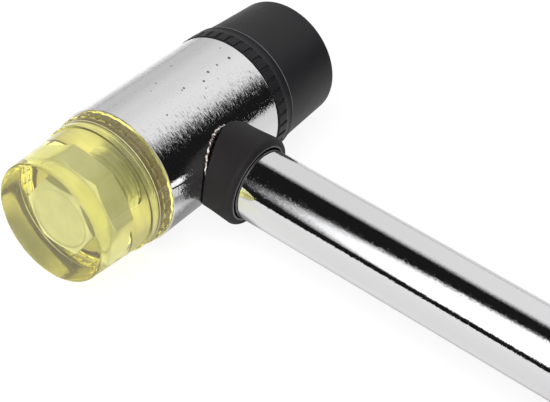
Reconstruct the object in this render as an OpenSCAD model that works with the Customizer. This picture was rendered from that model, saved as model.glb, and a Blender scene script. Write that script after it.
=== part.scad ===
// Dead blow mallet: a plated steel tube head with two screw-in striking faces
// and loose shot between two end plugs, welded to a steel tube handle.
// The mallet lies on its side. The head's axis runs along X, with the clear
// yellow face at -X and the black face at +X. The handle points to -Y.
// All sizes are in millimetres.

/* [Head] */
// Outer diameter of the head tube
head_d = 35; // [33:0.5:40]
// Wall of the head tube
head_wall = 2.5; // [2:0.25:3]
// Reach of the head tube from the handle's axis, on the yellow side
head_reach_yellow = 21.6; // [20:0.2:26]
// Reach of the head tube from the handle's axis, on the black side
head_reach_black = 18.8; // [18.6:0.2:24]
// Depth of the recess in front of each end plug
plug_recess = 1; // [0.8:0.1:1.2]
// Thickness of each end plug
plug_t = 9.5; // [9:0.5:9.5]
// Diameter of one shot ball
shot_d = 4; // [3.6:0.1:4]
// Free travel of the shot each way
shot_travel = 2.5; // [1:0.1:2.6]

/* [Striking faces] */
// Distance from the handle's axis to the yellow striking surface
yellow_reach = 44.3; // [43:0.1:48]
// Radius of the yellow face's rim
yellow_rim_r = 17.1; // [16.9:0.1:17.4]
// Radius of the yellow face where its taper starts
yellow_r_back = 16.15; // [15.8:0.05:16.4]
// Radius of the yellow face at its striking end
yellow_r_front = 15.3; // [15:0.05:15.8]
// Distance from the handle's axis to the black striking surface
black_reach = 45.1; // [43:0.1:48]
// Radius of the black face's rim
black_rim_r = 17.65; // [17.6:0.05:18]
// Radius of the black face where its taper starts
black_r_back = 17.1; // [16.9:0.05:17.3]
// Radius of the black face at its striking end
black_r_front = 16.15; // [15.8:0.05:16.4]
// Rounding of the striking edges
edge_r = 0.7; // [0.5:0.1:1.2]
// Number of grip notches round each rim
rim_notches = 36; // [24:1:40]
// Depth of the grip notches
notch_depth = 0.6; // [0.4:0.05:0.6]
// Width of the grip notches
notch_w = 1.25; // [1:0.05:1.5]

/* [Face bolts] */
// Thread diameter of the bolts moulded into the faces
bolt_d = 10; // [8:1:10]
// Width of the hexagon head across its flats
bolt_af = 17; // [15:1:18]
// Height of the hexagon head
bolt_head_t = 6.4; // [5:0.1:7]
// Depth of the hexagon head's top below the striking surface
bolt_depth = 7.5; // [5:0.5:8]
// Length of thread inside the end plug
thread_engaged = 7.5; // [6:0.5:7.5]
// Radial clearance between thread and tapped hole
thread_clear = 0.05; // [0.02:0.01:0.1]

/* [Handle] */
// Outer diameter of the handle tube
handle_d = 18.3; // [16:0.1:19]
// Wall of the handle tube
handle_wall = 1.5; // [1.2:0.1:2]
// Distance from the head's axis to the end of the handle tube
handle_reach = 250; // [220:5:300]
// Outer radius of the collar at the head
collar_r_root = 11.1; // [10.9:0.1:11.5]
// Outer radius of the collar near its mouth
collar_r_mouth = 11.7; // [11.4:0.1:12]
// Distance from the head's axis to the collar's mouth
collar_reach = 25.7; // [24:0.1:28]
// Radius of the recess in the collar's mouth
collar_recess_r = 10.05; // [9.9:0.05:10.2]

/* [Grip] */
// Distance from the head's axis to the front of the grip
grip_start = 116; // [112:1:130]
// Radius of the grip's front flange
grip_flange_r = 14.4; // [13.5:0.1:15]
// Radius of the grip at its waist
grip_waist_r = 12.4; // [11.5:0.1:13]
// Radius of the grip at its belly
grip_belly_r = 13.7; // [13:0.1:14.5]
// Radius of the grip's butt
butt_r = 15; // [14.5:0.1:16]
// Length of the butt past the end of the handle tube
butt_t = 15; // [14:0.5:20]
// Diameter of the hole for hanging the mallet up
hang_hole_d = 6; // [5:0.5:7]

/* [Hidden] */
$fn = 96;

head_r = head_d / 2;
chamber_r = head_r - head_wall;
handle_r = handle_d / 2;
butt_end = handle_reach + butt_t;
head_chamfer = 0.5;

// The origin is the middle of the mallet's footprint, on the surface it lies on.
axis_x = (yellow_reach - black_reach) / 2;
axis_y = (butt_end - black_rim_r) / 2;
axis_z = black_rim_r;

// Stack on each side, outwards from the tube's end
face_gap = 0.35;
washer_gap = 0.15;
tapped_depth = plug_t - 1.5;
lock_washer_r = 9;
lock_washer_hole_r = bolt_d / 2 + 0.3;
backing_washer_r = 13.5;
backing_washer_t = 2;

// Rim bands, measured outwards from the back of a face
yellow_rim_t = 2.2;
yellow_notch_t = 3.05;
yellow_band_t = 6.1;
black_notch_t = 3.3;
black_band_t = 6.25;
black_bend_t = 12;

weld_t = 0.45;
weld_r = collar_r_root + 0.5;
collar_mouth_depth = 3;
collar_lip_r = 1.3;

// The shot lies in as many layers as leave it its travel between the plugs.
chamber_len = head_reach_yellow + head_reach_black - 2 * (plug_recess + plug_t);
shot_pitch = shot_d + 0.15;
shot_layers = 1 + floor((chamber_len - 2 * shot_travel - shot_d - 0.1) / shot_pitch);
shot_fill = 2;

end_plug_t = 12;
grip_grooves = 9;
groove_pitch = 9;
groove_w = 2.4;
groove_depth = 0.7;

// Points of an arc in a profile, from angle a0 to angle a1
function arc(r, t, radius, a0, a1, steps) =
    [for (i = [0:steps]) let (a = a0 + (a1 - a0) * i / steps)
        [r + radius * cos(a), t + radius * sin(a)]];

// Local axis +Z laid along the head, towards the black face (side 1) or the yellow face (side -1)
module along_head(side) {
    translate([axis_x, axis_y, axis_z]) rotate([0, side * 90, 0]) children();
}

// Local axis +Z laid along the handle, away from the head
module along_handle() {
    translate([axis_x, axis_y, axis_z]) rotate([90, 0, 0]) children();
}

// A ring or disc between two stations along local Z
module ring(r_out, r_in, from, to) {
    translate([0, 0, from]) difference() {
        cylinder(r = r_out, h = to - from);
        translate([0, 0, -1]) cylinder(r = r_in, h = to - from + 2);
    }
}

// A solid turned from a profile of [radius, station] points
module turned(profile) {
    rotate_extrude() polygon(profile);
}

// Grip notches round a rim, open at the back of the face, up to a station along local Z
module rim_notches(rim_r, back, to) {
    for (i = [0:rim_notches - 1])
        rotate([0, 0, (i + 0.5) * 360 / rim_notches])
            translate([rim_r - notch_depth, -notch_w / 2, back - 1])
                cube([2 * notch_depth, notch_w, to - back + 1]);
}

// ---- Head ----

module head_tube() {
    color("gainsboro") along_head(1) turned([
        [chamber_r, -head_reach_yellow], [head_r - head_chamfer, -head_reach_yellow],
        [head_r, -head_reach_yellow + head_chamfer], [head_r, head_reach_black - head_chamfer],
        [head_r - head_chamfer, head_reach_black], [chamber_r, head_reach_black]
    ]);
}

// Steel disc fixed in one end of the head, with a blind tapped hole
module end_plug(reach) {
    outer = reach - plug_recess;
    difference() {
        translate([0, 0, outer - plug_t]) cylinder(r = chamber_r, h = plug_t);
        translate([0, 0, outer - tapped_depth])
            cylinder(r = bolt_d / 2 + thread_clear, h = tapped_depth + 1);
    }
}

module yellow_side_plug() {
    color("darkgray") along_head(-1) end_plug(head_reach_yellow);
}

module black_side_plug() {
    color("darkgray") along_head(1) end_plug(head_reach_black);
}

// Loose steel balls lying in the lower part of the chamber between the plugs
module shot_charge() {
    chamber_mid = (head_reach_black - head_reach_yellow) / 2;
    row_h = shot_pitch * sqrt(3) / 2;
    reach = chamber_r - shot_d / 2 - 0.2;
    color("slategray") translate([axis_x + chamber_mid, axis_y, axis_z])
        for (layer = [0:shot_layers - 1], row = [0:12], column = [-6:6])
            let (
                x = (layer - (shot_layers - 1) / 2) * shot_pitch,
                y = (column + (row % 2) / 2) * shot_pitch,
                z = -reach + row * row_h
            )
            if (norm([y, z]) <= reach && z < shot_fill)
                translate([x, y, z]) sphere(d = shot_d, $fn = 48);
}

// ---- Parts that both striking faces share ----

// Hexagon bolt moulded into a face, head outwards, as a plain shank without thread form
module face_bolt(tube_reach, reach) {
    head_top = reach - bolt_depth;
    head_bottom = head_top - bolt_head_t;
    shank_end = tube_reach - plug_recess - thread_engaged;
    chamfer_r = 0.47 * bolt_af;
    color("silver") {
        intersection() {
            translate([0, 0, head_bottom]) rotate([0, 0, 30])
                cylinder(d = bolt_af / cos(30), h = bolt_head_t, $fn = 6);
            turned([
                [0, head_bottom - 1], [bolt_af, head_bottom - 1],
                [bolt_af, head_top - (bolt_af - chamfer_r) * 0.5], [chamfer_r, head_top], [0, head_top]
            ]);
        }
        translate([0, 0, shank_end + 1]) cylinder(d = bolt_d, h = head_bottom - shank_end - 1);
        translate([0, 0, shank_end]) cylinder(r1 = bolt_d / 2 - 1, r2 = bolt_d / 2, h = 1);
    }
}

// Space that the bolt and the backing washer take up inside a face
module moulded_in(tube_reach, reach) {
    back = tube_reach + face_gap;
    face_bolt(tube_reach, reach);
    translate([0, 0, back - 1]) cylinder(r = backing_washer_r, h = backing_washer_t + 1);
}

// Steel washer moulded into the back of a face, flush with it
module backing_washer(tube_reach) {
    back = tube_reach + face_gap;
    color("silver") ring(backing_washer_r, bolt_d / 2, back, back + backing_washer_t);
}

// Hardened washer clamped between the face and the end plug
module lock_washer(tube_reach) {
    color("dimgray") ring(
        lock_washer_r, lock_washer_hole_r,
        tube_reach - plug_recess + washer_gap, tube_reach + face_gap - washer_gap
    );
}

// ---- Yellow face: hard and clear, with a rim and a band before its taper ----

module yellow_face() {
    back = head_reach_yellow + face_gap;
    rim_end = back + yellow_rim_t;
    band_end = back + yellow_band_t;
    color([0.78, 0.80, 0.20, 0.6]) along_head(-1) difference() {
        turned(concat(
            [[0, back], [yellow_rim_r - 0.3, back], [yellow_rim_r, back + 0.3],
             [yellow_rim_r, rim_end], [yellow_r_back + 0.6, rim_end + 0.15],
             [yellow_r_back + 0.45, band_end], [yellow_r_back, band_end + 0.15]],
            arc(yellow_r_front - edge_r, yellow_reach - edge_r, edge_r, 2, 90, 6),
            [[0, yellow_reach]]
        ));
        rim_notches(yellow_rim_r, back, back + yellow_notch_t);
        moulded_in(head_reach_yellow, yellow_reach);
    }
}

module yellow_face_bolt() {
    along_head(-1) face_bolt(head_reach_yellow, yellow_reach);
}

module yellow_backing_washer() {
    along_head(-1) backing_washer(head_reach_yellow);
}

module yellow_lock_washer() {
    along_head(-1) lock_washer(head_reach_yellow);
}

// ---- Black face: soft, with a notched rim and a band before its taper ----

module black_face() {
    back = head_reach_black + face_gap;
    rim_end = back + black_notch_t + 0.15;
    band_end = back + black_band_t;
    color([0.10, 0.10, 0.11]) along_head(1) difference() {
        turned(concat(
            [[0, back], [black_rim_r - 0.4, back], [black_rim_r, back + 0.4],
             [black_rim_r, rim_end], [black_rim_r - 0.2, rim_end + 0.3],
             [black_rim_r - 0.25, band_end], [black_r_back, band_end + 0.15],
             [(black_r_back + black_r_front) / 2 + 0.1, back + black_bend_t]],
            arc(black_r_front - edge_r, black_reach - edge_r, edge_r, 2, 90, 6),
            [[0, black_reach]]
        ));
        rim_notches(black_rim_r, back, back + black_notch_t);
        moulded_in(head_reach_black, black_reach);
    }
}

module black_face_bolt() {
    along_head(1) face_bolt(head_reach_black, black_reach);
}

module black_backing_washer() {
    along_head(1) backing_washer(head_reach_black);
}

module black_lock_washer() {
    along_head(1) lock_washer(head_reach_black);
}

// ---- Handle ----

// Solid of the head's outline, grown by a margin, for the saddle cuts
module head_outline(margin) {
    along_head(1) translate([0, 0, -head_r]) cylinder(r = head_r + margin, h = 2 * head_r);
}

module handle_tube() {
    color("gainsboro") difference() {
        along_handle() ring(handle_r, handle_r - handle_wall, 0, handle_reach);
        head_outline(0);
    }
}

// Fillet weld round the foot of the handle, whose toe shows past the collar
module weld_bead() {
    color("lightgray") difference() {
        intersection() {
            along_handle() ring(weld_r, handle_r, 0, head_r + weld_t);
            head_outline(weld_t);
        }
        head_outline(0);
    }
}

// Flared sleeve that covers the weld, with a recess round the tube at its mouth
module collar() {
    color([0.14, 0.14, 0.14]) difference() {
        along_handle() turned(concat(
            [[handle_r, 10], [collar_r_root, 10]],
            arc(collar_r_mouth - collar_lip_r, collar_reach - collar_lip_r, collar_lip_r, 0, 90, 6),
            [[collar_recess_r, collar_reach], [collar_recess_r, collar_reach - collar_mouth_depth],
             [handle_r, collar_reach - collar_mouth_depth]]
        ));
        head_outline(weld_t);
    }
}

// Turned plug pressed into the end of the handle tube
module handle_end_plug() {
    color("darkgray") along_handle()
        translate([0, 0, handle_reach - end_plug_t])
            cylinder(r = handle_r - handle_wall, h = end_plug_t);
}

// Radius of the grip between its flange and its butt, with a waist at each end of a belly
function grip_r(u) = grip_waist_r + (grip_belly_r - grip_waist_r) * pow(sin(180 * u), 2);

// Moulded sleeve over the end of the tube, with grip grooves and a hanging hole
module grip() {
    front = grip_start + 5;
    back = handle_reach - 8;
    groove_start = (front + back - (grip_grooves - 1) * groove_pitch) / 2;
    butt_round = 7;
    color([0.09, 0.09, 0.10]) along_handle() difference() {
        turned(concat(
            [[handle_r, grip_start], [grip_flange_r - 1.5, grip_start]],
            arc(grip_flange_r - 1.5, grip_start + 1.5, 1.5, -60, 60, 4),
            [for (i = [0:14]) let (u = i / 14) [grip_r(u), front + (back - front) * u]],
            [[butt_r - 0.6, handle_reach - 1.5], [butt_r, handle_reach + 1]],
            arc(butt_r - butt_round, butt_end - butt_round, butt_round, 0, 90, 6),
            [[0, butt_end], [0, handle_reach], [handle_r, handle_reach]]
        ));
        for (i = [0:grip_grooves - 1])
            let (t = groove_start + i * groove_pitch, r = grip_r((t - front) / (back - front)))
            ring(grip_belly_r + 1, r - groove_depth, t - groove_w / 2, t + groove_w / 2);
        translate([0, butt_r + 1, handle_reach + butt_t / 2])
            rotate([90, 0, 0]) cylinder(d = hang_hole_d, h = 2 * butt_r + 2);
    }
}

head_tube();
yellow_side_plug();
black_side_plug();
shot_charge();
yellow_face();
yellow_face_bolt();
yellow_backing_washer();
yellow_lock_washer();
black_face();
black_face_bolt();
black_backing_washer();
black_lock_washer();
handle_tube();
weld_bead();
collar();
handle_end_plug();
grip();
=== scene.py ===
import math

import bmesh
import bpy
from mathutils import Matrix, Vector


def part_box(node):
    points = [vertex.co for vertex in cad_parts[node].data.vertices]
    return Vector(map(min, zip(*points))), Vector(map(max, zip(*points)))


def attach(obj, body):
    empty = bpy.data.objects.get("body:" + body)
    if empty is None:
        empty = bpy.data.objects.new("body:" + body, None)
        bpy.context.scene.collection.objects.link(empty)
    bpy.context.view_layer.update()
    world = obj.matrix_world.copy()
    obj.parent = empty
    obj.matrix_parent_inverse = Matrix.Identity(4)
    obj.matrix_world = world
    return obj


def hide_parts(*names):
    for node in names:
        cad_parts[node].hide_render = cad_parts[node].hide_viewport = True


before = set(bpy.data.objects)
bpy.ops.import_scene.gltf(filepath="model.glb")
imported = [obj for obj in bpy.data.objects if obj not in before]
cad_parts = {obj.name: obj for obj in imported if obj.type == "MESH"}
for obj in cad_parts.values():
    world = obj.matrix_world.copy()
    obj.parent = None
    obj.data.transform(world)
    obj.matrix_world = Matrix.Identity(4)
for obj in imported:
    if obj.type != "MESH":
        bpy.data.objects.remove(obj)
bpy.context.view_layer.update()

# ---- The view ------------------------------------------------------------------------
# The mallet lies on its side, with its head along X and its handle towards -Y. The two
# axes cross inside the head, and every piece is placed from that crossing, in millimetres.
# The camera looks down past the yellow face, along the photograph's line of sight.
MM = 0.001
head_low, head_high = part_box("head_tube")
handle_low, handle_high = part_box("handle_tube")
crossing = Vector((
    (handle_low.x + handle_high.x) / 2,
    (head_low.y + head_high.y) / 2,
    (head_low.z + head_high.z) / 2,
))
HEAD_R = (head_high.z - head_low.z) / 2 / MM

FILM_W = 36
LENS_MM = 92.06
camera_stands = crossing + HEAD_R * MM * Vector((-12.298, -9.012, 12.488))
looks_along = Vector((0.64545, 0.38012, -0.66250)).normalized()
camera_up = Vector((0.48509, 0.46598, 0.73997))
camera_right = looks_along.cross(camera_up).normalized()
camera_up = camera_right.cross(looks_along)

camera = bpy.data.objects.new("camera", bpy.data.cameras.new("camera"))
camera.data.sensor_width = FILM_W
camera.data.lens = LENS_MM
camera.data.clip_start = 0.01
camera.data.clip_end = 20
camera.matrix_world = Matrix.Translation(camera_stands) @ Matrix(
    (camera_right, camera_up, -looks_along)
).transposed().to_4x4()
bpy.context.scene.collection.objects.link(camera)
bpy.context.scene.camera = camera
bpy.context.scene.view_settings.view_transform = "Standard"


# ---- The studio ----------------------------------------------------------------------
# A white table in a dark room, with a broad panel of light high up on the black face's
# side, a brighter softbox on the yellow face's side and a dim backdrop far behind. The
# plating mirrors these; the camera and the clear plastic see white all round.
class Wire:
    """What comes out of a node. Python's operators on it add Math nodes."""

    def __init__(self, recipe, socket):
        self.recipe = recipe
        self.socket = socket

    def __add__(self, other):
        return self.recipe.maths("ADD", self, other)

    def __mul__(self, other):
        return self.recipe.maths("MULTIPLY", self, other)

    def __sub__(self, other):
        return self.recipe.maths("SUBTRACT", self, other)

    def __rsub__(self, other):
        return self.recipe.maths("SUBTRACT", other, self)

    __radd__ = __add__
    __rmul__ = __mul__


class Recipe:
    """A node tree in the making, empty at first."""

    def __init__(self, tree):
        self.tree = tree
        tree.nodes.clear()

    def node(self, kind, settings=None, inputs=None, output=0):
        """Adds a node: its settings first, then the values or wires of its inputs."""
        family = "" if kind.startswith(("Geometry", "NodeGroup")) else "ShaderNode"
        made = self.tree.nodes.new(family + kind)
        for name, value in (settings or {}).items():
            setattr(made, name, value)
        for name, value in (inputs or {}).items():
            if isinstance(value, Wire):
                self.tree.links.new(value.socket, made.inputs[name])
            elif made.inputs[name].type == "RGBA":
                made.inputs[name].default_value = (*value, 1)
            else:
                made.inputs[name].default_value = value
        return Wire(self, made.outputs[output]) if made.outputs else None

    def maths(self, operation, *terms):
        """A number made of numbers."""
        return self.node("Math", {"operation": operation}, dict(enumerate(terms)))

    def vector(self, operation, *terms):
        """A vector made of vectors."""
        return self.node("VectorMath", {"operation": operation}, dict(enumerate(terms)))

    def measure(self, operation, *terms):
        """A number made of vectors."""
        settings = {"operation": operation}
        return self.node("VectorMath", settings, dict(enumerate(terms)), "Value")

    def along(self, vector, direction):
        """How far a vector reaches along a direction."""
        return self.measure("DOT_PRODUCT", vector, direction)

    def times(self, vector, factor):
        """A vector made longer or shorter by a factor."""
        names = {0: vector, "Scale": factor}
        return self.node("VectorMath", {"operation": "SCALE"}, names)

    def ray(self, kind):
        """1 where a ray of that kind looks at the surface, and 0 for any other ray."""
        return self.node("LightPath", output=f"Is {kind} Ray")

    def ease(self, value, low, high):
        """0 on low's side, 1 on high's side, and a smooth step between them."""
        names = {"Value": value, "From Min": low, "From Max": high}
        return self.node("MapRange", {"interpolation_type": "SMOOTHSTEP"}, names)

    def blend(self, share, first, second):
        """The first colour, giving way to the second as share goes from 0 to 1."""
        names = {0: share, 6: first, 7: second}
        return self.node("Mix", {"data_type": "RGBA"}, names, 2)


# Lights are placed by the direction that a ray goes in, whose parts run from -1 to 1. An
# edge is given by the two numbers between which the light fades.
PANEL_TOWARDS = (0.842, 0.229, 0.489)
PANEL_EDGE = (0.645, 0.84)
PANEL_LIGHT = 0.81
PANEL_DIMMED_BY = ((0.12, 0.0, 0.5), (0.16, 0.5, 0.8))
SOFTBOX_TOWARDS = (-0.673, -0.616, 0.409)
SOFTBOX_EDGE = (0.46, 0.56)
SOFTBOX_FOOT = (0.13, 0.18)
SOFTBOX_SIDE = (0.15, 0.30)
SOFTBOX_LIGHT = 1.32
BACKDROP_SIDE = (0.45, 0.62)
BACKDROP_TOP = (0.50, 0.30)
BACKDROP_LIGHT = 0.56
DARKNESS = 0.010
THROUGH_LIGHT = 0.85

world = bpy.data.worlds.new("studio")
bpy.context.scene.world = world
world.use_nodes = True
room = Recipe(world.node_tree)
towards = room.node("TexCoord", output="Generated")
height = room.along(towards, (0, 0, 1))
depth = room.along(towards, (0, 1, 0))

panel_light = PANEL_LIGHT
for dimmed, near, far in PANEL_DIMMED_BY:
    panel_light = panel_light - dimmed * room.ease(depth, near, far)
panel = room.ease(room.along(towards, PANEL_TOWARDS), *PANEL_EDGE) * panel_light
backdrop = room.ease(depth, *BACKDROP_SIDE) * room.ease(height, *BACKDROP_TOP)
softbox = (
    room.ease(room.along(towards, SOFTBOX_TOWARDS), *SOFTBOX_EDGE)
    * room.ease(height, *SOFTBOX_FOOT)
    * room.ease(room.along(towards, (-1, 0, 0)), *SOFTBOX_SIDE)
)
lit = room.maths("MAXIMUM", panel, softbox * SOFTBOX_LIGHT)
lit = room.maths("MAXIMUM", lit, backdrop * BACKDROP_LIGHT) + DARKNESS
seen = room.ray("Camera") + THROUGH_LIGHT * room.ray("Transmission")
room.node("OutputWorld", inputs={"Surface": room.node("Background", inputs={
    "Color": (1.0, 1.0, 1.0),
    "Strength": lit + seen * (1 - lit),
})})


def mesh_object(name, mesh):
    """A new object in the scene that holds a mesh, at the origin."""
    made = bpy.data.objects.new(name, mesh)
    bpy.context.scene.collection.objects.link(made)
    return made


# The table's sizes are in metres. Its shadow is a share of its light: faint to the camera and
# stronger in the plating. In the plating only, the table also carries a painted pool of light
# beside the head and a painted shadow beneath the collar, and past an edge on the yellow face's
# side it is dark.
FLOOR_HALF = 1.5
FLOOR_WHITE = (0.92, 0.92, 0.92)
FLOOR_SHADOW = 0.12
FLOOR_SHADOW_IN_PLATE = 0.5
FLOOR_IN_PLATE = 0.15
FLOOR_THROUGH_PLASTIC = 1.35
FLOOR_EDGE = (0.265, 0.295)
# SPOT_* place a painted pool of light on the table, and UNDER_COLLAR_* a painted shadow beneath
# the collar; only the plating sees them.
SPOT_PLACE = (0.035, 0.042)
SPOT_FADE = (0.11, 0.01)
SPOT_LIGHT = 0.60
UNDER_COLLAR_PLACE = (-0.003, -0.016)
UNDER_COLLAR_FADE = (0.013, 0.007)
UNDER_COLLAR_DIMMED = 0.05
floor_mesh = bpy.data.meshes.new("floor")
floor_mesh.from_pydata(
    [(x * FLOOR_HALF, y * FLOOR_HALF, 0) for x, y in ((-1, -1), (1, -1), (1, 1), (-1, 1))],
    [],
    [(0, 1, 2, 3)],
)
floor = mesh_object("floor", floor_mesh)
paper_material = bpy.data.materials.new("white_paper")
paper_material.use_nodes = True
paper = Recipe(paper_material.node_tree)
place = paper.node("TexCoord", output="Object")


def near_on_floor(offset, fade):
    """1 round a point of the table, given by its offset from the crossing."""
    centre = crossing + Vector((*offset, -crossing.z))
    return paper.ease(paper.measure("DISTANCE", place, centre), *fade)


# A painted pool of light beside the head and a painted shadow beneath the collar, both seen only
# in the plating.
painted_light_pool = near_on_floor(SPOT_PLACE, SPOT_FADE)
painted_collar_shadow = near_on_floor(UNDER_COLLAR_PLACE, UNDER_COLLAR_FADE)
beyond = paper.ease(paper.along(place, (-1, 0, 0)), *FLOOR_EDGE)
camera_sees = paper.ray("Camera")
plating_sees = paper.ray("Glossy")
passes = paper.ray("Transmission")
in_plate = FLOOR_IN_PLATE + SPOT_LIGHT * painted_light_pool - UNDER_COLLAR_DIMMED * painted_collar_shadow
glow = camera_sees + plating_sees * in_plate * (1 - beyond) + passes * FLOOR_THROUGH_PLASTIC
share = (
    camera_sees * (1 - FLOOR_SHADOW) + passes
    + plating_sees * (1 - FLOOR_SHADOW_IN_PLATE * (1 - painted_collar_shadow) * (1 - beyond))
)
paper.node("OutputMaterial", inputs={"Surface": paper.node("MixShader", inputs={
    0: paper.maths("MINIMUM", share, 1),
    1: paper.node("BsdfDiffuse", inputs={"Color": FLOOR_WHITE}),
    2: paper.node("Emission", inputs={"Strength": glow}),
})})
floor.data.materials.append(paper_material)

LAMP_SIZE = 0.7
LAMP_WATTS = 9
LAMP_PLACE = (-0.35, -0.10, 0.75)
lamp = bpy.data.objects.new("overhead_lamp", bpy.data.lights.new("overhead_lamp", "AREA"))
lamp.data.shape = "DISK"
lamp.data.size = LAMP_SIZE
lamp.data.energy = LAMP_WATTS
lamp.location = crossing + Vector(LAMP_PLACE)
lamp.rotation_euler = (crossing - lamp.location).to_track_quat("-Z", "Y").to_euler()
lamp.visible_glossy = False
lamp.visible_transmission = False
bpy.context.scene.collection.objects.link(lamp)


# ---- Head tube -----------------------------------------------------------------------
# A cut length of steel tube, ground round its girth and then nickel and chrome plated.
# The grinding shows through the plate as fine streaks, with a few pits on top.
HEAD_BORE_R = 15.0
HEAD_EDGE = 0.12
head_reach_black = (head_high.x - crossing.x) / MM
head_reach_yellow = (crossing.x - head_low.x) / MM


def about_head(side):
    """Places a point on the head: side 1 looks towards the black face, -1 the yellow."""

    def place(radius, station, angle):
        turn = Vector((0, -radius * math.cos(angle), radius * math.sin(angle)))
        return crossing + MM * (turn + Vector((side * station, 0, 0)))

    return place


def rounded(corners, steps=6, hold=0.15):
    """A closed outline through corners of (radius, station, rounding). Each rounding is an
    arc, with a point on both sides, hold away from it, that keeps the shading flat there."""
    outline = []
    for index, (radius, station, rounding) in enumerate(corners):
        corner = Vector((radius, station))
        if not rounding:
            outline.append(corner)
            continue
        before = (Vector(corners[index - 1][:2]) - corner).normalized()
        after = (Vector(corners[(index + 1) % len(corners)][:2]) - corner).normalized()
        half = before.angle(after) / 2
        middle = corner + (before + after).normalized() * rounding / math.sin(half)
        start = corner + before * rounding / math.tan(half)
        end = corner + after * rounding / math.tan(half)
        outline.append(start + before * hold)
        for step in range(steps + 1):
            spoke = (start - middle).slerp(end - middle, step / steps)
            outline.append(middle + spoke * rounding)
        outline.append(end + after * hold)
    return outline


SHARP_FROM = math.radians(32)


def shaded(mesh):
    """Smooth shading, with the edges that turn by SHARP_FROM or more kept sharp."""
    mesh.polygons.foreach_set("use_smooth", [True] * len(mesh.polygons))
    mesh.set_sharp_from_angle(angle=SHARP_FROM)
    return mesh


def turned(name, outline, place, columns=192):
    """A solid turned from a closed outline of (radius, station) points."""
    shape = bmesh.new()
    rings = []
    for radius, station in outline:
        turns = columns if radius > 1e-6 else 1
        rings.append([
            shape.verts.new(place(radius, station, math.tau * i / columns)) for i in range(turns)
        ])
    for ring, following in zip(rings, rings[1:] + rings[:1]):
        if len(ring) + len(following) == 2:
            continue
        for i in range(columns):
            j = i + 1
            corners = [
                ring[i % len(ring)], ring[j % len(ring)],
                following[j % len(following)], following[i % len(following)],
            ]
            shape.faces.new(list(dict.fromkeys(corners)))
    bmesh.ops.recalc_face_normals(shape, faces=shape.faces)
    mesh = bpy.data.meshes.new(name)
    shape.to_mesh(mesh)
    shape.free()
    return mesh_object(name, shaded(mesh))


def finish(name):
    """A new material and its empty recipe."""
    material = bpy.data.materials.new(name)
    material.use_nodes = True
    return material, Recipe(material.node_tree)


def surface(recipe, **sockets):
    """Ends a recipe in a Principled surface, whose sockets are named with _ for a space."""
    names = {name.replace("_", " "): value for name, value in sockets.items()}
    made = recipe.node("BsdfPrincipled", inputs=names)
    recipe.node("OutputMaterial", inputs={"Surface": made})


def noise(recipe, place, period, detail):
    """Noise about 0, from -0.5 to 0.5, whose lumps measure period (x, y, z) millimetres."""
    scale = tuple(1 / (MM * size) for size in period)
    scaled = recipe.vector("MULTIPLY", place, scale)
    return recipe.node("TexNoise", inputs={
        "Vector": scaled, "Scale": 1.0, "Detail": detail,
    }) - 0.5


def crisp(lumps):
    """Noise with its middle flattened, so that its peaks stand out."""
    return lumps * (0.5 + 8 * lumps * lumps)


def sparse(lumps):
    """Noise that is nearly flat but for a few high peaks."""
    square = lumps * lumps
    return lumps * (0.2 + 60 * square * square)


PLATE_COLOUR = (0.90, 0.90, 0.91)
STREAK_W = 0.17
STREAK_LENGTH = 1.3
SMUDGE_SIZE = 9
SMUDGE_DULLS = 0.05

# A pit is dark out to PIT_FLOOR times its radius, and fades out at PIT_RIM times. Each is
# given by its place along the head in mm and round it in degrees, and its radius in mm.
PIT_COLOUR = (0.10, 0.09, 0.08)
PIT_FLOOR = 0.5
PIT_RIM = 1.4
HEAD_PITS = [
    (14.9, 79.5, 0.42), (6.8, 79.8, 0.36), (3.6, 75.4, 0.32), (10.5, 80.4, 0.28),
    (-2.2, 80.1, 0.30), (-3.1, 79.6, 0.22), (2.8, 106.6, 0.24), (-5.4, 99.3, 0.20),
    (-11.9, 69.8, 0.24), (16.2, 92.2, 0.20), (-8.7, 95.1, 0.16), (2.4, 69.7, 0.18),
]


def plating(name, axis, streaks, grain, waves, grain_size, dullness, pits=()):
    """Bright plate over steel that was ground round an axis. Grinding streaks and a sparse
    grain make it lean along the axis, and fine waves make it lean round the axis, each by
    a share of its normal's length. Dullness is its roughness."""
    material, plate = finish(name)
    place = plate.node("TexCoord", output="Object")
    normal = plate.node("NewGeometry", output="Normal")
    across = plate.vector("CROSS_PRODUCT", axis, normal)
    marks = noise(plate, place, [STREAK_W if part else STREAK_LENGTH for part in axis], 0.5)
    lumps = noise(plate, place, (grain_size,) * 3, 0.0)
    lean_along = plate.times(axis, crisp(marks) * streaks + sparse(lumps) * grain)
    lean_across = plate.times(across, crisp(lumps) * waves)
    leaning = plate.vector("ADD", plate.vector("ADD", normal, lean_along), lean_across)
    colour = PLATE_COLOUR
    if pits:
        pitted = 0.0
        for station, degrees, radius in pits:
            centre = about_head(1)(HEAD_R, station, math.radians(degrees))
            off = plate.measure("DISTANCE", place, centre)
            pitted = pitted + plate.ease(off, PIT_RIM * radius * MM, PIT_FLOOR * radius * MM)
        colour = plate.blend(pitted, PLATE_COLOUR, PIT_COLOUR)
    smudge = noise(plate, place, (SMUDGE_SIZE,) * 3, 3.0)
    surface(
        plate, Base_Color=colour, Metallic=1.0, Roughness=dullness + SMUDGE_DULLS * smudge,
        Normal=plate.vector("NORMALIZE", leaning),
    )
    return material


head_tube = turned(
    "plated_head_tube",
    rounded([
        (HEAD_BORE_R, -head_reach_yellow, 0), (HEAD_R, -head_reach_yellow, HEAD_EDGE),
        (HEAD_R, head_reach_black, HEAD_EDGE), (HEAD_BORE_R, head_reach_black, 0),
    ], hold=0.4),
    about_head(1),
    columns=256,
)
head_tube.data.materials.append(
    plating(
        "head_plate", (1, 0, 0), streaks=0.40, grain=0.75, waves=0.05, grain_size=0.20,
        dullness=0.05, pits=HEAD_PITS,
    )
)
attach(head_tube, "head_and_handle")
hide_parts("head_tube")


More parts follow.
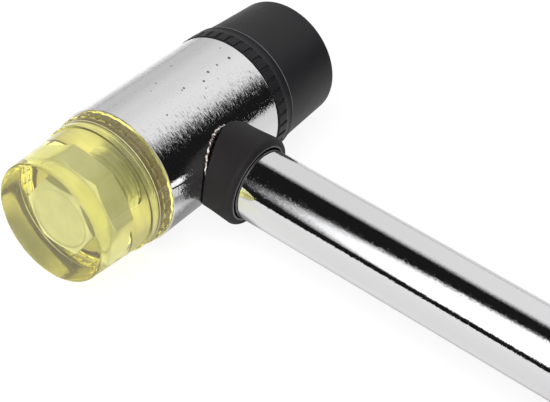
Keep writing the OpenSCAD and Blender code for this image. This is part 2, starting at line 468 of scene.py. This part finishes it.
# ---- End plugs and shot --------------------------------------------------------------
# Turned steel discs fixed in both ends of the head, each with a tapped hole for a face,
# and the loose steel shot that lies between them and deadens the rebound.
TOOL_RING_W = 0.25
TOOL_RING_HEIGHT = 0.05
STAIN_SIZE = 3
STAINED = 0.72
# The dark brown painted shade on a washer's rim, and how it fades and wanders.
RIM_SHADE_BROWN = (0.13, 0.09, 0.05)
RIM_SHADE_FADE = 0.3
RIM_SHADE_WANDERS = 0.5


def turned_steel(name, axis, colour, roughness, shaded_beyond=None):
    """Steel with the fine rings that a turning tool leaves about an axis. Outside the radius
    shaded_beyond it turns dark brown, a painted shade."""
    material, steel = finish(name)
    place = steel.vector("SUBTRACT", steel.node("TexCoord", output="Object"), crossing)
    off_axis = steel.vector("MULTIPLY", place, tuple(1 - part for part in axis))
    radius = steel.measure("LENGTH", off_axis)
    rings = steel.node("TexNoise", {"noise_dimensions": "1D"}, {
        "W": radius, "Scale": 1 / (TOOL_RING_W * MM), "Detail": 2.0,
    })
    stain = noise(steel, place, (STAIN_SIZE,) * 3, 4.0)
    shade = steel.blend(stain + 0.5, colour, tuple(STAINED * part for part in colour))
    # Painted shade: dark brown outside the given radius.
    if shaded_beyond:
        edge = (shaded_beyond + RIM_SHADE_WANDERS * stain) * MM
        rim_shade = steel.ease(radius, edge - RIM_SHADE_FADE * MM, edge + RIM_SHADE_FADE * MM)
        shade = steel.blend(rim_shade, shade, RIM_SHADE_BROWN)
    bump = steel.node("Bump", inputs={
        "Strength": 0.35, "Distance": TOOL_RING_HEIGHT * MM, "Height": rings,
    })
    surface(
        steel, Base_Color=shade, Metallic=1.0, Normal=bump,
        Roughness=roughness + rings * 0.12 + stain * 0.15,
    )
    return material


def dress(node, material):
    """Gives a node of the frame, whose shape is kept, its material."""
    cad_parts[node].data.materials.clear()
    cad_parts[node].data.materials.append(material)


plug_steel = turned_steel("plug_steel", (1, 0, 0), (0.56, 0.56, 0.57), 0.30)
shot_steel = turned_steel("shot_steel", (1, 0, 0), (0.42, 0.42, 0.43), 0.35)
for plug_node in ("yellow_side_plug", "black_side_plug"):
    dress(plug_node, plug_steel)
dress("shot_charge", shot_steel)


# ---- Face bolts ----------------------------------------------------------------------
# A zinc-plated hexagon bolt, M10 with a pitch of 1.5 mm, is moulded into each striking
# face with its head outwards. Its thread screws into the end plug.
BOLT_R = 5.0
BOLT_AF = 17.0
BOLT_HEAD_T = 6.4
BOLT_DEPTH = 7.5
BOLT_TIP_R = 3.8
BOLT_CHAMFER_R = 0.485 * BOLT_AF
CHAMFER_SLOPE = 0.5
HEAD_GROOVE_INSETS = (0.35, 0.6, 1.0, 1.2)
HEAD_GROOVE_DEPTH = 0.22
HEAD_SUNK = 0.08
THREAD_PITCH = 1.5
THREAD_DEPTH = 0.75
THREAD_FLANK = 1.6
THREAD_CREST = 0.3
THREAD_STOPS = 1.0
ROWS_PER_TURN = 8
THREAD_LEAD_IN = 0.7
LEAD_IN_ROWS = 5
PLUG_RECESS = 1.0
THREAD_ENGAGED = 7.5


def bolt_place(side, bottom, top):
    """Places a bolt's points: hexagonal along its head, with the corners chamfered, and
    along its shank a thread with flat crests and roots."""
    plain = about_head(side)

    def place(radius, station, angle):
        if radius > BOLT_CHAMFER_R + 0.01:
            flat = angle % (math.pi / 3) - math.pi / 6
            radius = BOLT_AF / 2 / math.cos(flat)
            if station > bottom:
                station = top - (radius - BOLT_CHAMFER_R) * CHAMFER_SLOPE
        elif 0 < radius <= BOLT_R and station < bottom:
            wave = (station / THREAD_PITCH - angle / math.tau) % 1
            depth = THREAD_FLANK * abs(2 * wave - 1) - THREAD_CREST
            radius -= THREAD_DEPTH * min(1, max(0, depth))
        return plain(radius, station, angle)

    return place


def hexagon_bolt(name, side, tube_reach, face_reach):
    """A bolt turned from its outline, with a shallow groove round the top of its head."""
    top = face_reach - BOLT_DEPTH
    bottom = top - BOLT_HEAD_T
    end = tube_reach - PLUG_RECESS - THREAD_ENGAGED
    rows = int((bottom - THREAD_STOPS - end) / (THREAD_PITCH / ROWS_PER_TURN))
    groove_floor = top - HEAD_GROOVE_DEPTH
    groove = [BOLT_CHAMFER_R - inset for inset in HEAD_GROOVE_INSETS]
    shank = [
        (
            BOLT_R - THREAD_LEAD_IN * max(0, 1 - row / LEAD_IN_ROWS),
            end + row * THREAD_PITCH / ROWS_PER_TURN,
        )
        for row in range(rows)
    ]
    outline = [
        (0, end), (BOLT_TIP_R, end), *shank, (BOLT_R, bottom),
        (BOLT_AF / 2, bottom), (BOLT_AF / 2, top), (BOLT_CHAMFER_R, top),
        (groove[0], top), (groove[1], groove_floor), (groove[2], groove_floor),
        (groove[3], top - HEAD_SUNK), (0, top - HEAD_SUNK),
    ]
    return turned(name, outline, bolt_place(side, bottom, top), columns=96)


ZINC_COLOUR = (0.70, 0.72, 0.68)
ZINC_CLOUDED = (0.52, 0.54, 0.50)
ZINC_GRAIN = 0.5
ZINC_HEIGHT = 0.08
ZINC_CLOUD = 4


def zinc_plate():
    """Dull bright zinc over a forged bolt, a little grainy."""
    material, zinc = finish("zinc_plate")
    place = zinc.node("TexCoord", output="Object")
    grains = noise(zinc, place, (ZINC_GRAIN,) * 3, 3.0)
    cloud = noise(zinc, place, (ZINC_CLOUD,) * 3, 2.0)
    bump = zinc.node("Bump", inputs={
        "Strength": 0.5, "Distance": ZINC_HEIGHT * MM, "Height": grains,
    })
    surface(
        zinc, Metallic=1.0, Normal=bump, Roughness=0.38 + cloud * 0.2,
        Base_Color=zinc.blend(cloud + 0.5, ZINC_COLOUR, ZINC_CLOUDED),
    )
    return material


yellow_reach = (crossing.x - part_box("yellow_face")[0].x) / MM
black_reach = (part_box("black_face")[1].x - crossing.x) / MM
bolt_zinc = zinc_plate()
for colour_name, side, tube_reach, face_reach in (
    ("yellow", -1, head_reach_yellow, yellow_reach),
    ("black", 1, head_reach_black, black_reach),
):
    bolt = hexagon_bolt(colour_name + "_side_hexagon_bolt", side, tube_reach, face_reach)
    bolt.data.materials.append(bolt_zinc)
    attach(bolt, colour_name + "_striker")
    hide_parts(colour_name + "_face_bolt")


# ---- Washers -------------------------------------------------------------------------
# A plain steel washer is moulded flush into the back of each face, with a dark brown painted
# shade on its rim that shows through the clear face, and a hardened black one lies between the
# face and the end plug.
WASHER_BRIGHT_R = 12.4
washer_steel = turned_steel(
    "washer_steel", (1, 0, 0), (0.84, 0.84, 0.80), 0.34, shaded_beyond=WASHER_BRIGHT_R,
)
hardened_steel = turned_steel("hardened_steel", (1, 0, 0), (0.16, 0.15, 0.15), 0.42)
for colour_name in ("yellow", "black"):
    dress(colour_name + "_backing_washer", washer_steel)
    dress(colour_name + "_lock_washer", hardened_steel)


# ---- Yellow face ---------------------------------------------------------------------
# A hard striking face cast in clear yellow plastic round its bolt and washer. It tapers
# to the striking end, and notches round its rim give a grip for unscrewing it.
FACE_GAP = 0.35
NOTCHES = 36
NOTCH_W = 1.0
NOTCH_DEPTH = 0.3
COLUMNS_PER_NOTCH = 18
ROW_T = 0.12


def notch_tree():
    """Presses notches into a rim from its back. Over the width of a notch, and up to its
    round end, no point stays further from the head's axis than the notch's floor."""
    tree = bpy.data.node_groups.new("rim_notches", "GeometryNodeTree")
    tree.interface.new_socket("Geometry", in_out="OUTPUT", socket_type="NodeSocketGeometry")
    for name, kind in (
        ("Geometry", "Geometry"), ("Crossing", "Vector"), ("Notches", "Int"),
        ("Half Width", "Float"), ("Floor Radius", "Float"), ("End", "Float"),
        ("Material", "Material"),
    ):
        tree.interface.new_socket(name, in_out="INPUT", socket_type="NodeSocket" + kind)
    cut = Recipe(tree)

    def given(name):
        return cut.node("NodeGroupInput", output=name)

    place = cut.vector("SUBTRACT", cut.node("GeometryNodeInputPosition"), given("Crossing"))
    inwards = cut.vector("MULTIPLY", place, (0, -1, -1))
    radius = cut.measure("LENGTH", inwards)
    station = cut.maths("ABSOLUTE", cut.along(place, (1, 0, 0)))
    turn = cut.maths("ARCTAN2", cut.along(place, (0, 0, 1)), cut.along(place, (0, -1, 0)))
    share = cut.maths("FRACT", turn * (1 / math.tau) * given("Notches")) - 0.5
    aside = cut.maths("ABSOLUTE", share) * math.tau * radius
    aside = cut.maths("DIVIDE", aside, given("Notches"))
    half = given("Half Width")
    bulge = half * half - aside * aside
    end = given("End") - half + cut.maths("SQRT", cut.maths("MAXIMUM", bulge, 0))
    inside = cut.maths("LESS_THAN", aside, half) * cut.maths("LESS_THAN", station, end)
    excess = cut.maths("MAXIMUM", radius - given("Floor Radius"), 0)
    offset = cut.times(cut.vector("NORMALIZE", inwards), excess * inside)
    moved = cut.node("GeometryNodeSetPosition", inputs={
        "Geometry": given("Geometry"), "Offset": offset,
    })
    cut.node("NodeGroupOutput", inputs={0: cut.node("GeometryNodeSetMaterial", inputs={
        "Geometry": cut.node("GeometryNodeRealizeInstances", inputs={0: moved}),
        "Material": given("Material"),
    })})
    return tree


def made_by(blank, tree, values):
    """Runs a node tree on a blank and keeps the result as the blank's plain mesh."""
    modifier = blank.modifiers.new(tree.name, "NODES")
    modifier.node_group = tree
    for item in tree.interface.items_tree:
        if item.in_out == "INPUT" and item.name in values:
            modifier[item.identifier] = values[item.name]
    evaluated = blank.evaluated_get(bpy.context.evaluated_depsgraph_get())
    result = bpy.data.meshes.new_from_object(evaluated)
    blank.modifiers.clear()
    blank.data = shaded(result)
    return blank


def notched_face(name, side, rim_radius, rim, rest, material):
    """A striking face turned from the outline of its rim, whose points lie ROW_T apart, and
    of the rest. The rim is given by the stations of its back, its end and its notches' end."""
    back, rim_end, notch_end = rim
    rows = int((rim_end - back) / ROW_T)
    steps = [back + (rim_end - back) * row / rows for row in range(rows + 1)]
    outline = rounded([
        (0, back, 0), (rim_radius, back, 0.3),
        *[(rim_radius, station, 0) for station in steps if station > back + 0.5],
        *rest,
    ], hold=0.08)
    blank = turned(name, outline, about_head(side), columns=NOTCHES * COLUMNS_PER_NOTCH)
    return made_by(blank, rim_notches, {
        "Crossing": crossing, "Notches": NOTCHES, "Half Width": NOTCH_W / 2 * MM,
        "Floor Radius": (rim_radius - NOTCH_DEPTH) * MM, "End": notch_end * MM,
        "Material": material,
    })


rim_notches = notch_tree()

CLEAR_SKIN = (0.995, 0.965, 0.58)
CLEAR_IOR = 1.49
CLEAR_SHARE = 0.94
DEPTH_COLOUR = (0.99, 0.93, 0.05)
DEPTH_DENSITY = 26.0
SHADOW_COLOUR = (0.97, 0.95, 0.6)
FLOW_SIZE = (5, 7, 7)
FLOW_HEIGHT = 0.25
RING_SIZE = (0.35, 60, 60)
RING_SHARE = 0.06
# A painted highlight: a pale line along each edge of the yellow face's groove.
GROOVE_HIGHLIGHT_COLOUR = (0.80, 0.78, 0.38)
GROOVE_HIGHLIGHT_SHARE = 0.6
GROOVE_HIGHLIGHT_FADE = (0.11, 0.04)


def clear_plastic(highlit_stations):
    """Clear cast plastic: yellow in depth, glossy, with faint flow marks and turned rings. The
    lamp's light passes through it. Each station in highlit_stations has a fine pale line round
    it, a painted highlight."""
    material, cast = finish("clear_yellow_plastic")
    place = cast.node("TexCoord", output="Object")
    ripple = noise(cast, place, FLOW_SIZE, 2.0)
    rings = noise(cast, place, RING_SIZE, 1.0)
    flow = cast.node("Bump", inputs={
        "Strength": 0.25, "Distance": FLOW_HEIGHT * MM, "Height": ripple + RING_SHARE * rings,
    })
    body = cast.node("BsdfPrincipled", inputs={
        "Base Color": CLEAR_SKIN, "Roughness": 0.03, "IOR": CLEAR_IOR,
        "Transmission Weight": CLEAR_SHARE, "Normal": flow,
    })
    highlight_surface = cast.node("BsdfPrincipled", inputs={
        "Base Color": GROOVE_HIGHLIGHT_COLOUR, "Roughness": 0.35,
    })
    station = cast.along(place, (-1, 0, 0)) + crossing.x
    highlit = 0.0
    for line in highlit_stations:
        off = cast.maths("ABSOLUTE", station - line * MM)
        highlit = highlit + cast.ease(off, *(edge * MM for edge in GROOVE_HIGHLIGHT_FADE))
    body = cast.node("MixShader", inputs={0: highlit * GROOVE_HIGHLIGHT_SHARE, 1: body, 2: highlight_surface})
    passing = cast.node("BsdfTransparent", inputs={"Color": SHADOW_COLOUR})
    mixed = cast.node("MixShader", inputs={0: cast.ray("Shadow"), 1: body, 2: passing})
    depth_of_colour = cast.node("VolumeAbsorption", inputs={
        "Color": DEPTH_COLOUR, "Density": DEPTH_DENSITY,
    })
    cast.node("OutputMaterial", inputs={"Surface": mixed, "Volume": depth_of_colour})
    return material


YELLOW_RIM_R = 17.1
YELLOW_BAND_R = 16.75
YELLOW_BACK_R = 16.15
YELLOW_FRONT_R = 15.3
YELLOW_RIM_T = 2.2
YELLOW_NOTCH_T = 3.05
YELLOW_BAND_T = 6.1
GROOVE_FROM = 25.5
GROOVE_TO = 26.7
GROOVE_FLOOR_R = YELLOW_BAND_R - 0.16
STEP_T = 0.15
FACE_ROUND = 0.7
yellow_back = head_reach_yellow + FACE_GAP
yellow_rim_end = yellow_back + YELLOW_RIM_T
yellow_band_end = yellow_back + YELLOW_BAND_T
yellow_face = notched_face(
    "clear_yellow_face", -1, YELLOW_RIM_R,
    (yellow_back, yellow_rim_end, yellow_back + YELLOW_NOTCH_T),
    [
        (YELLOW_BAND_R, yellow_rim_end + STEP_T, 0.08),
        *[(YELLOW_BAND_R - 0.02, yellow_rim_end + 0.2 + row * ROW_T, 0) for row in range(7)],
        (YELLOW_BAND_R - 0.04, GROOVE_FROM, 0), (GROOVE_FLOOR_R, GROOVE_FROM + STEP_T, 0.05),
        (GROOVE_FLOOR_R, GROOVE_TO - STEP_T, 0.05), (YELLOW_BAND_R - 0.08, GROOVE_TO, 0),
        (YELLOW_BAND_R - 0.15, yellow_band_end, 0.1),
        (YELLOW_BACK_R, yellow_band_end + STEP_T, 0.1),
        (YELLOW_FRONT_R, yellow_reach, FACE_ROUND), (0, yellow_reach, 0),
    ],
    clear_plastic((GROOVE_FROM, GROOVE_TO)),
)
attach(yellow_face, "yellow_striker")
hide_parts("yellow_face")


# ---- Black face ----------------------------------------------------------------------
# The softer face, moulded in black rubber, with a notched rim, a band that ends in a fine
# ridge where the mould parted, and a long taper to the striking end.
BLOOM_SIZE = 11
DUSTY = 1.5
PORE_HEIGHT = 0.06
# A painted highlight: a paler line along an edge of the rubber.
EDGE_HIGHLIGHT_COLOUR = (0.14, 0.14, 0.15)
EDGE_HIGHLIGHT_FADE = (0.24, 0.16)


def moulded_rubber(name, colour, roughness, pores, highlight_edge=None):
    """Black rubber or plastic from a mould: a dusty bloom in clouds, and fine pores of the given
    size. A paler line, a painted highlight, runs along an edge: highlight_edge gives the
    distance from it."""
    material, rubber = finish(name)
    place = rubber.node("TexCoord", output="Object")
    bloom = noise(rubber, place, (BLOOM_SIZE,) * 3, 4.0)
    grain = noise(rubber, place, (pores,) * 3, 2.0)
    bump = rubber.node("Bump", inputs={
        "Strength": 0.35, "Distance": PORE_HEIGHT * MM, "Height": grain,
    })
    shade = rubber.blend(bloom + 0.5, colour, tuple(DUSTY * part for part in colour))
    if highlight_edge:
        off = highlight_edge(rubber, rubber.vector("SUBTRACT", place, crossing))
        near = rubber.ease(rubber.maths("ABSOLUTE", off), *(edge * MM for edge in EDGE_HIGHLIGHT_FADE))
        shade = rubber.blend(near, shade, EDGE_HIGHLIGHT_COLOUR)
    surface(
        rubber, Base_Color=shade, Roughness=roughness + bloom * 0.22 + grain * 0.08,
        Specular_IOR_Level=0.3, Normal=bump,
    )
    return material


BLACK_RIM_R = 17.65
BLACK_BAND_R = BLACK_RIM_R - 0.27
BLACK_RIDGE_R = BLACK_RIM_R - 0.14
BLACK_BACK_R = 17.1
BLACK_BEND_R = 16.725
BLACK_FRONT_R = 16.15
BLACK_NOTCH_T = 3.3
BLACK_BAND_T = 6.25
BLACK_BEND_T = 12
black_back = head_reach_black + FACE_GAP
black_notch_end = black_back + BLACK_NOTCH_T
black_band_end = black_back + BLACK_BAND_T


# The ridge at the band's end carries a painted highlight, a paler line in the rubber.
def from_band_end(rubber, place):
    """How far a point lies from the ridge at the end of the band."""
    return rubber.along(place, (1, 0, 0)) - (black_band_end - 0.1) * MM


black_face = notched_face(
    "black_rubber_face", 1, BLACK_RIM_R,
    (black_back, black_notch_end, black_notch_end),
    [
        (BLACK_RIM_R - 0.2, black_notch_end + 0.4, 0),
        (BLACK_BAND_R, black_band_end - 0.45, 0),
        (BLACK_RIDGE_R, black_band_end - 0.2, 0.06),
        (BLACK_BACK_R, black_band_end + STEP_T, 0.1),
        (BLACK_BEND_R, black_back + BLACK_BEND_T, 0),
        (BLACK_FRONT_R, black_reach, FACE_ROUND), (0, black_reach, 0),
    ],
    moulded_rubber("black_rubber", (0.006, 0.006, 0.007), 0.44, 0.6, highlight_edge=from_band_end),
)
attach(black_face, "black_striker")
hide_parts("black_face")


# ---- Handle tube ---------------------------------------------------------------------
# A steel tube, sawn to the head's curve at one end and plated like the head, but drawn
# smooth and polished, so that it mirrors the room sharply.
HANDLE_R = (handle_high.x - handle_low.x) / 2 / MM
HANDLE_WALL = 1.5
SADDLE_END = 22
handle_bore_r = HANDLE_R - HANDLE_WALL
handle_reach = (crossing.y - handle_low.y) / MM


def along_handle(radius, station, angle):
    """Places a point on the handle: stations run away from the head, angle 0 is +X."""
    turn = Vector((radius * math.cos(angle), 0, radius * math.sin(angle)))
    return crossing + MM * (turn + Vector((0, -station, 0)))


def from_head(radius, angle, clear=0.0):
    """The station at which a line along the handle comes out of the head's round."""
    return math.sqrt((HEAD_R + clear) ** 2 - (radius * math.sin(angle)) ** 2)


UPPER_LEFT = math.radians(123)
UPPER_LEFT_HALF = math.radians(40)


def upper_left(angle):
    """1 at the upper left of the handle, and 0 from UPPER_LEFT_HALF away."""
    off = math.remainder(angle - UPPER_LEFT, math.tau) / UPPER_LEFT_HALF
    return math.cos(math.pi / 2 * off) if abs(off) < 1 else 0


def saddled(clear=0.0, lift=0.0):
    """Places points on the handle, but none of them inside the head. They stay clear of
    it, by lift more at the upper left."""

    def place(radius, station, angle):
        stays = from_head(radius, angle, clear + lift * upper_left(angle))
        return along_handle(radius, max(station, stays), angle)

    return place


handle_tube = turned(
    "plated_handle_tube",
    rounded([
        (handle_bore_r, 0, 0), (HANDLE_R, 0, 0), (HANDLE_R, SADDLE_END, 0),
        (HANDLE_R, handle_reach, 0.3), (handle_bore_r, handle_reach, 0.3),
    ]),
    saddled(),
)
handle_tube.data.materials.append(
    plating(
        "handle_plate", (0, 1, 0), streaks=0.0, grain=0.12, waves=0.09, grain_size=0.24,
        dullness=0.045,
    )
)
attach(handle_tube, "head_and_handle")
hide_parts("handle_tube")

end_plug_steel = turned_steel("end_plug_steel", (0, 1, 0), (0.5, 0.5, 0.5), 0.35)
dress("handle_end_plug", end_plug_steel)


# ---- Weld bead -----------------------------------------------------------------------
# The fillet weld that joins the handle to the head, plated over and tinted brown where
# the heat was. Only its rippled toe shows, at the upper left, just past the collar's foot.
weld_low, weld_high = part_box("weld_bead")
WELD_R = (weld_high.x - weld_low.x) / 2 / MM
WELD_T = 0.45
WELD_NARROWS = 1.2
WELD_RIPPLES = 44
RIPPLE_DEPTH = 0.22
WELD_BRIGHT = (0.88, 0.86, 0.84)
HEAT_BROWN = (0.33, 0.13, 0.08)
HEAT_PATCH = 1.6
HEAT_FADE = (-0.08, 0.12)
WELD_GRAIN = 0.7
WELD_HEIGHT = 0.3


def weld_place(radius, station, angle):
    """Lays the bead on the head's round. It is widest and thickest at the upper left, and
    its outer edge ripples."""
    ripple = 0.5 + 0.5 * math.sin(WELD_RIPPLES * angle)
    if radius > HANDLE_R + 0.5:
        radius -= WELD_NARROWS * (1 - upper_left(angle) ** 0.5) + RIPPLE_DEPTH * ripple
    station *= 0.5 + 0.5 * upper_left(angle)
    return along_handle(radius, from_head(radius, angle) + station, angle)


def heat_tinted_steel():
    """Plate over a weld: bright and grainy, and browned by heat in patches."""
    material, weld = finish("weld_plate")
    place = weld.node("TexCoord", output="Object")
    grains = noise(weld, place, (WELD_GRAIN,) * 3, 3.0)
    tint = weld.ease(noise(weld, place, (HEAT_PATCH,) * 3, 2.0), *HEAT_FADE)
    bump = weld.node("Bump", inputs={
        "Strength": 0.9, "Distance": WELD_HEIGHT * MM, "Height": grains,
    })
    surface(
        weld, Metallic=1.0, Roughness=0.16 + tint * 0.2, Normal=bump,
        Base_Color=weld.blend(tint, WELD_BRIGHT, HEAT_BROWN),
    )
    return material


weld_bead = turned(
    "weld_bead_toe",
    rounded([
        (HANDLE_R, 0.02, 0), (WELD_R, 0.02, 0), (WELD_R, WELD_T, 0.3), (HANDLE_R, WELD_T, 0),
    ], steps=4, hold=0.05),
    weld_place,
    columns=WELD_RIPPLES * 8,
)
weld_bead.data.materials.append(heat_tinted_steel())
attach(weld_bead, "head_and_handle")
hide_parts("weld_bead")


# ---- Collar --------------------------------------------------------------------------
# A flared sleeve of matt black plastic, pushed up the handle to cover the weld. Its foot
# stands a little off the head, most of all at the upper left, and its mouth is rounded
# and stands off the tube, so that a dark ring shows round it.
collar_low, collar_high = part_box("collar")
COLLAR_ROOT_R = 11.1
COLLAR_MOUTH_R = (collar_high.x - collar_low.x) / 2 / MM
COLLAR_RECESS_R = 9.5
COLLAR_RECESS_T = 3.0
COLLAR_FOOT = 10
COLLAR_FLARE = 19
COLLAR_CLEAR = 0.3
COLLAR_LIFT = 0.8
COLLAR_ROUND = 1.3
collar_reach = (crossing.y - collar_low.y) / MM

collar = turned(
    "flared_collar",
    rounded([
        (HANDLE_R, COLLAR_FOOT, 0), (COLLAR_ROOT_R, COLLAR_FOOT, 0),
        (COLLAR_ROOT_R + 0.1, COLLAR_FLARE, 0),
        (COLLAR_MOUTH_R, collar_reach, COLLAR_ROUND), (COLLAR_RECESS_R, collar_reach, 0.08),
        (COLLAR_RECESS_R, collar_reach - COLLAR_RECESS_T, 0),
        (HANDLE_R, collar_reach - COLLAR_RECESS_T, 0),
    ]),
    saddled(COLLAR_CLEAR, COLLAR_LIFT),
)


def from_mouth(rubber, place):
    """How far a point lies from the inner edge of the collar's mouth, which carries a painted
    highlight.
    """
    radius = rubber.measure("LENGTH", rubber.vector("MULTIPLY", place, (1, 0, 1)))
    return radius - (COLLAR_RECESS_R + 0.25) * MM


# The collar's mouth has a painted highlight: a paler line round its inner edge.
collar.data.materials.append(
    moulded_rubber("collar_plastic", (0.009, 0.008, 0.008), 0.60, 0.25, highlight_edge=from_mouth)
)
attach(collar, "head_and_handle")
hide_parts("collar")


# ---- Grip ----------------------------------------------------------------------------
# A black rubber sleeve moulded over the end of the tube, with a flange in front, nine
# rounded finger grooves round its belly and a hole through its butt to hang it up.
grip_low, grip_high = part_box("grip")
grip_start = (crossing.y - grip_high.y) / MM
butt_end = (crossing.y - grip_low.y) / MM
GRIP_FLANGE_R = 14.4
GRIP_FLANGE_T = 3.2
FLANGE_ROUND = 1.4
GRIP_WAIST_R = 12.4
GRIP_BELLY_R = 13.7
BUTT_R = 15.0
BUTT_ROUND = 7.0
GRIP_GROOVES = 9
GROOVE_PITCH = 9.0
GROOVE_W = 2.4
GROOVE_DEPTH = 0.7
SLEEVE_BEHIND_FRONT = 5
SLEEVE_BEFORE_END = 8
SLEEVE_ROW_T = 0.2
HANG_HOLE_R = 3.0
HOLE_FLARE = 1.2
HOLE_FLARE_STEPS = 6
sleeve_from = grip_start + SLEEVE_BEHIND_FRONT
sleeve_to = handle_reach - SLEEVE_BEFORE_END


def sleeve_r(station):
    """The sleeve's radius: a waist at each end, a belly in the middle, and the grooves."""
    share = (station - sleeve_from) / (sleeve_to - sleeve_from)
    radius = GRIP_WAIST_R + (GRIP_BELLY_R - GRIP_WAIST_R) * math.sin(math.pi * share) ** 2
    nearest = round((station - first_groove) / GROOVE_PITCH)
    off = abs(station - first_groove - GROOVE_PITCH * nearest)
    if 0 <= nearest < GRIP_GROOVES and off < GROOVE_W / 2:
        radius -= GROOVE_DEPTH * math.cos(math.pi * off / GROOVE_W) ** 0.5
    return radius


first_groove = (sleeve_from + sleeve_to - (GRIP_GROOVES - 1) * GROOVE_PITCH) / 2
sleeve_steps = int((sleeve_to - sleeve_from) / SLEEVE_ROW_T)
sleeve = [
    (sleeve_r(station), station, 0)
    for station in (
        sleeve_from + (sleeve_to - sleeve_from) * step / sleeve_steps
        for step in range(sleeve_steps + 1)
    )
]
grip = turned(
    "moulded_grip",
    rounded([
        (HANDLE_R, grip_start, 0), (GRIP_FLANGE_R, grip_start, FLANGE_ROUND),
        (GRIP_FLANGE_R, grip_start + GRIP_FLANGE_T, 1.2), *sleeve,
        (BUTT_R, handle_reach + 0.3, 2.0), (BUTT_R, butt_end, BUTT_ROUND), (0, butt_end, 0),
        (0, handle_reach, 0), (HANDLE_R, handle_reach, 0),
    ]),
    along_handle,
)
hole_centre = crossing - MM * Vector((0, (handle_reach + butt_end) / 2, 0))


def hole_place(radius, station, angle):
    """Places the hanging hole's cutter, upright through the butt."""
    turn = Vector((radius * math.cos(angle), radius * math.sin(angle), station))
    return hole_centre + MM * turn


half_hole = [
    (
        HANG_HOLE_R + HOLE_FLARE * (1 - math.cos(turn)),
        BUTT_R - HOLE_FLARE * (1 - math.sin(turn)),
    )
    for turn in (math.pi / 2 * step / HOLE_FLARE_STEPS for step in range(HOLE_FLARE_STEPS + 1))
]
half_hole += [(HANG_HOLE_R + HOLE_FLARE, BUTT_R + 2), (0, BUTT_R + 2)]
cutter = turned(
    "hole_cutter",
    [(radius, -station) for radius, station in reversed(half_hole)] + half_hole,
    hole_place,
    columns=64,
)
drill = grip.modifiers.new("hanging_hole", "BOOLEAN")
drill.object = cutter
drill.operation = "DIFFERENCE"
drill.solver = "EXACT"
drilled = bpy.data.meshes.new_from_object(
    grip.evaluated_get(bpy.context.evaluated_depsgraph_get())
)
grip.modifiers.clear()
grip.data = shaded(drilled)
grip.data.materials.clear()
grip.data.materials.append(moulded_rubber("grip_rubber", (0.017, 0.017, 0.018), 0.60, 0.4))
bpy.data.objects.remove(cutter)
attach(grip, "head_and_handle")
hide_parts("grip")
